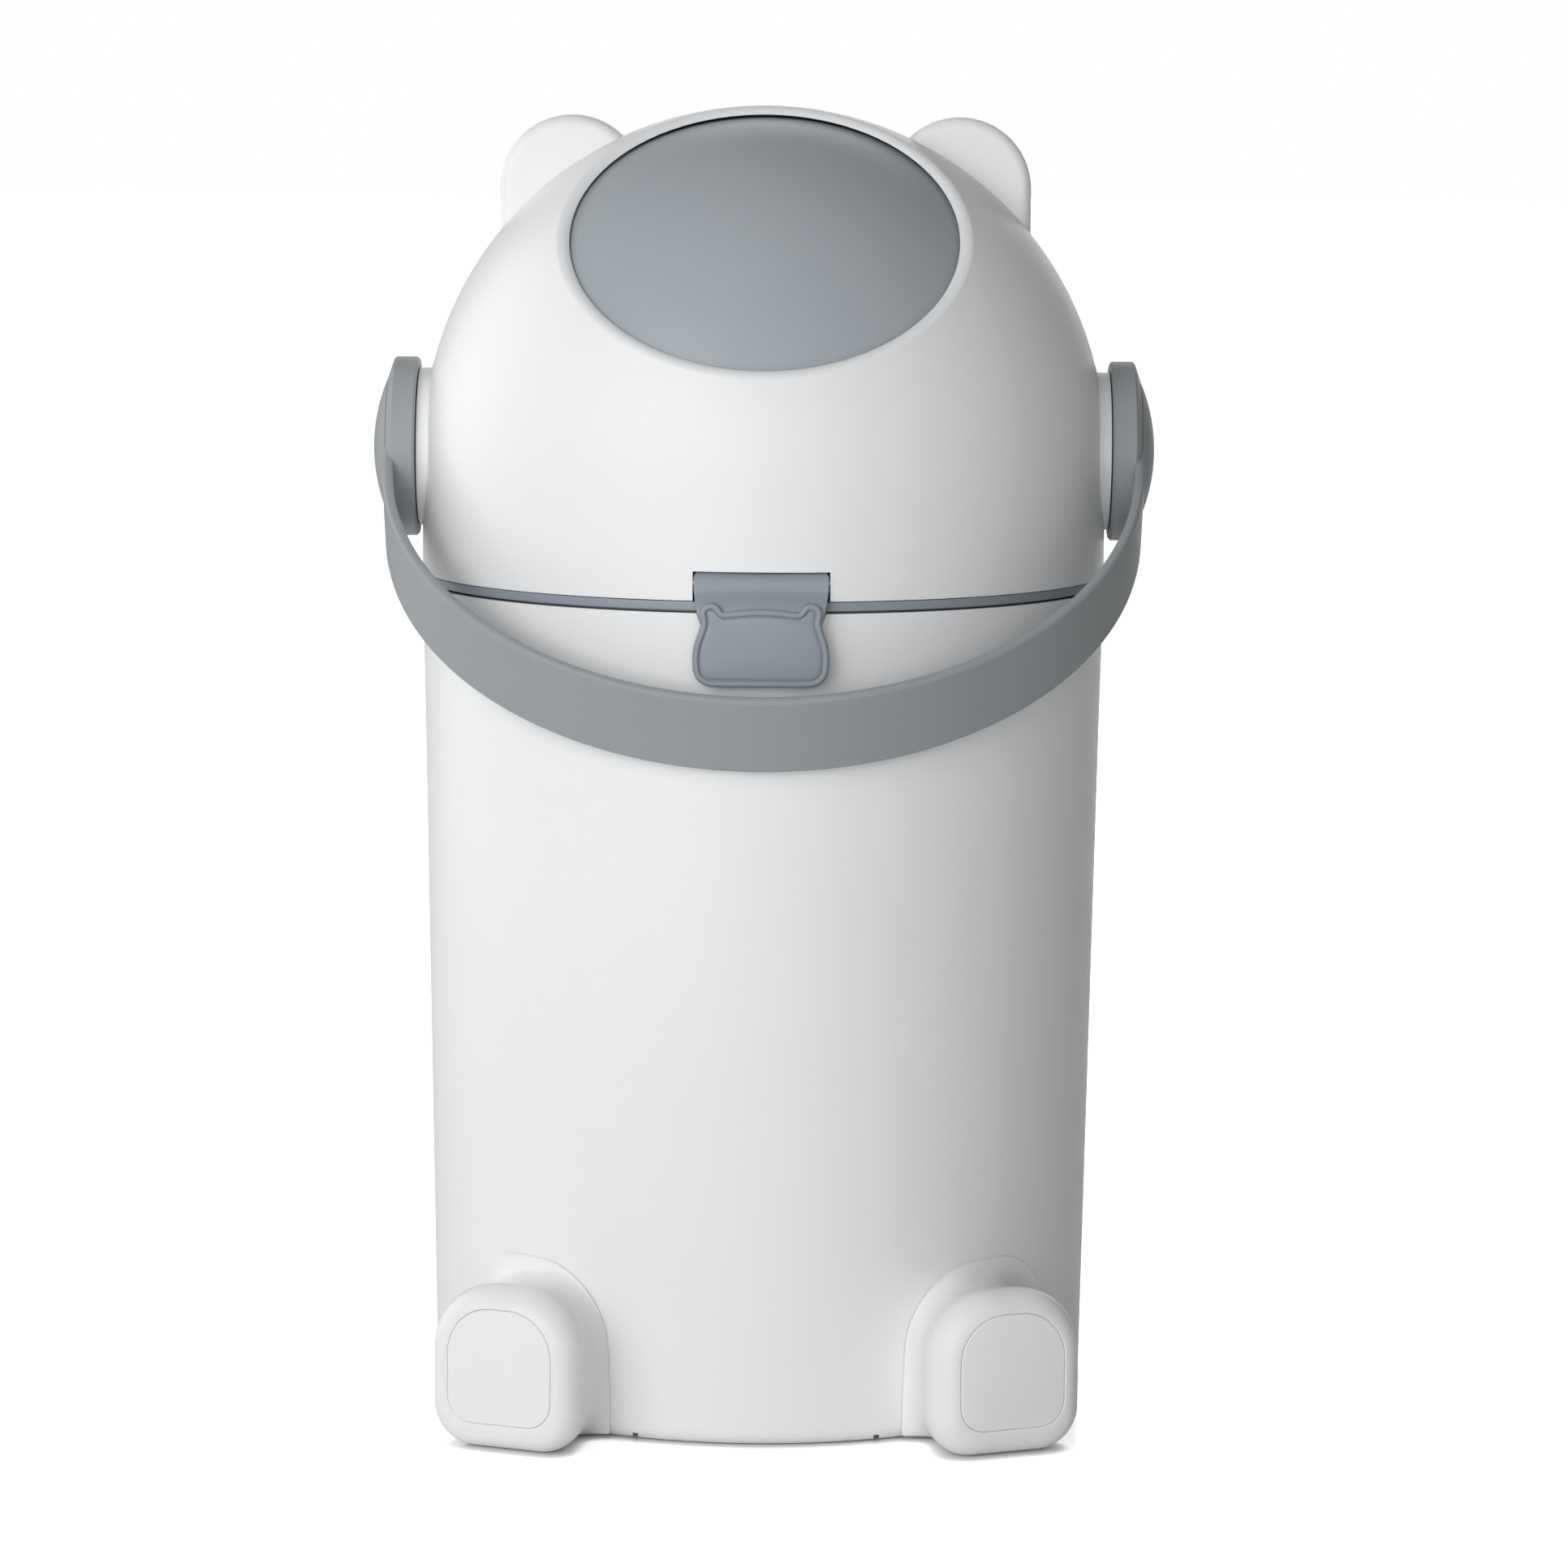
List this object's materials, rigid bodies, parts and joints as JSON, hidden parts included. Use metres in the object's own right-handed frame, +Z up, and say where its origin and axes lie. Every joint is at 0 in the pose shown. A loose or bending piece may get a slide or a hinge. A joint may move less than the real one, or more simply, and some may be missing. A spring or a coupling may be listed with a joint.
{
  "type": "nappy bin",
  "caption": "Tall nappy bin with a hinged domed head, ears and feet; a ball-shaped drum turned by the carrying handle drops each nappy into the bag below.",
  "frame": {"origin": "on the floor, on the tube's axis", "axes": "+Z up along the tube's axis, -Y towards the front with the latch, +X to the right seen from the front"},
  "size_m": [0.2976, 0.2944, 0.489],
  "materials": {
    "white_shell": "satin moulded white",
    "grey_shell": "satin moulded blue-grey",
    "inner_shell": "matt moulded light grey",
    "seal": "soft matt seal",
    "steel": "zinc-plated",
    "bearing_plastic": "smooth bearing plastic"
  },
  "bodies": {
    "bin": {"tube": "white_shell", "foot_left": "white_shell", "foot_right": "white_shell", "sole_panel_left": "white_shell", "sole_panel_right": "white_shell", "foot_screws": "steel", "bag_ring": "grey_shell", "hinge_pin": "steel"},
    "head": {"dome": "white_shell", "opening_seal": "seal", "drum_bowl_cover": "inner_shell", "outlet_seal": "seal", "cover_screws": "steel", "head_seal": "seal", "bush_left": "bearing_plastic", "bush_right": "bearing_plastic", "latch_pin": "steel"},
    "drum": {"drum_upper": "grey_shell", "drum_lower": "grey_shell", "trunnion_left": "bearing_plastic", "trunnion_right": "bearing_plastic", "trunnion_screws": "steel", "handle": "grey_shell", "hub_cap_left": "grey_shell", "hub_cap_right": "grey_shell", "hub_screws": "steel"},
    "latch": {"latch": "grey_shell"}
  },
  "joints": [
    {"name": "head_hinge", "type": "hinge", "parent": "bin", "child": "head", "pos_m": [0, 0.136, 0.3108], "axis": [-1, 0, 0], "range_deg": [0, 95]},
    {"name": "handle_turn", "type": "hinge", "parent": "head", "child": "drum", "pos_m": [0, 0, 0.359], "axis": [-1, 0, 0], "range_deg": [0, 141]},
    {"name": "latch_pivot", "type": "hinge", "parent": "head", "child": "latch", "pos_m": [0, -0.1254, 0.3189], "axis": [-1, 0, 0], "range_deg": [0, 55]}
  ]
}
